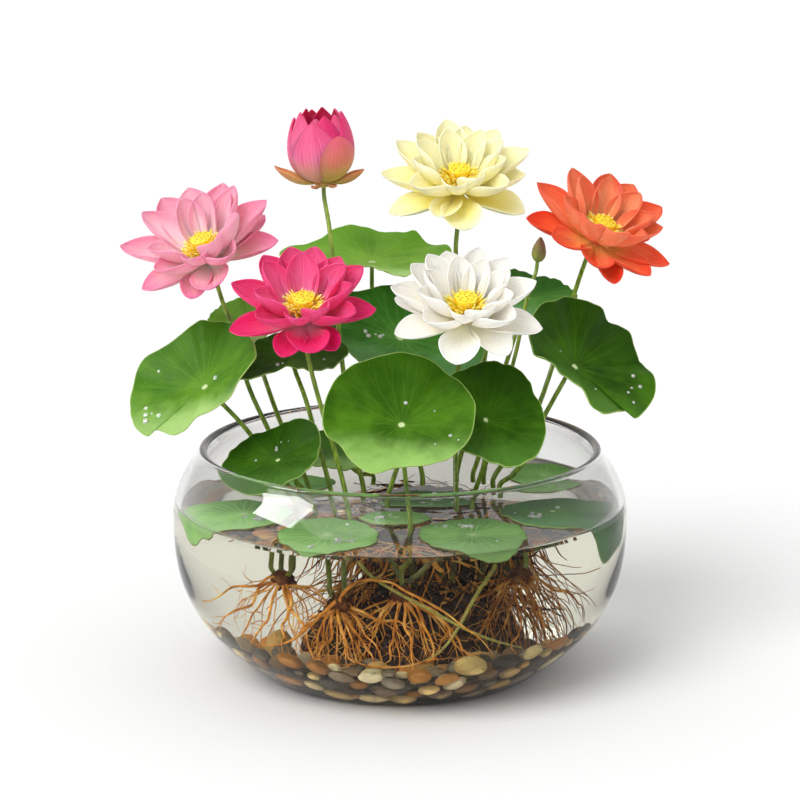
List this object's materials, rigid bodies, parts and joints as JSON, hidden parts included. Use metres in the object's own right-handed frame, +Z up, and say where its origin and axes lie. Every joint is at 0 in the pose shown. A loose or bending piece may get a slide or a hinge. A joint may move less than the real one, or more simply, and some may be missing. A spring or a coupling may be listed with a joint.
{
  "type": "lotus plant in a pond pot",
  "caption": "Lotus plant with open flowers, buds, standing and floating leaves, rooted in pebbles and soil under water in a round glass bowl.",
  "frame": {"origin": "middle of the flat underside of the bowl's foot", "axes": "+Z up, -Y towards the front of the plant, +X to its right"},
  "size_m": [0.3561, 0.298, 0.3657],
  "materials": {
    "clear_glass": "gloss",
    "pond_water": "gloss",
    "river_pebble": "satin",
    "pond_soil": "matte",
    "lotus_root": "matte",
    "leaf": "satin",
    "stem": "satin",
    "seed_head": "matte",
    "pink_petal": "satin",
    "magenta_petal": "satin",
    "white_petal": "satin",
    "yellow_petal": "satin",
    "orange_petal": "satin",
    "pink_bud_petal": "satin",
    "green_bud_petal": "satin"
  },
  "bodies": {
    "root": {"glass_bowl": "clear_glass", "water": "pond_water", "pebble_bed": "river_pebble", "soil": "pond_soil", "root_mat": "lotus_root", "left_root_crown": "lotus_root", "left_middle_root_crown": "lotus_root", "centre_root_crown": "lotus_root", "right_root_crown": "lotus_root", "left_leaf": "leaf", "left_leaf_stem": "stem", "back_left_leaf": "leaf", "back_left_leaf_stem": "stem", "shaded_leaf": "leaf", "shaded_leaf_stem": "stem", "top_leaf": "leaf", "top_leaf_stem": "stem", "middle_leaf": "leaf", "middle_leaf_stem": "stem", "front_leaf": "leaf", "front_leaf_stem": "stem", "right_front_leaf": "leaf", "right_front_leaf_stem": "stem", "right_leaf": "leaf", "right_leaf_stem": "stem", "back_right_leaf": "leaf", "back_right_leaf_stem": "stem", "low_left_leaf": "leaf", "low_back_leaf": "leaf", "floating_leaf_left": "leaf", "floating_leaf_front_left": "leaf", "floating_leaf_centre": "leaf", "floating_leaf_front_right": "leaf", "floating_leaf_right": "leaf", "floating_leaf_back_right": "leaf", "floating_leaf_middle": "leaf", "floating_leaf_back_left": "leaf", "pink_flower_petals": "pink_petal", "pink_flower_seed_head": "seed_head", "pink_flower_stem": "stem", "magenta_flower_petals": "magenta_petal", "magenta_flower_seed_head": "seed_head", "magenta_flower_stem": "stem", "white_flower_petals": "white_petal", "white_flower_seed_head": "seed_head", "white_flower_stem": "stem", "yellow_flower_petals": "yellow_petal", "yellow_flower_seed_head": "seed_head", "yellow_flower_stem": "stem", "orange_flower_petals": "orange_petal", "orange_flower_seed_head": "seed_head", "orange_flower_stem": "stem", "pink_bud": "pink_bud_petal", "pink_bud_stem": "stem", "green_bud": "green_bud_petal"}
  },
  "joints": []
}
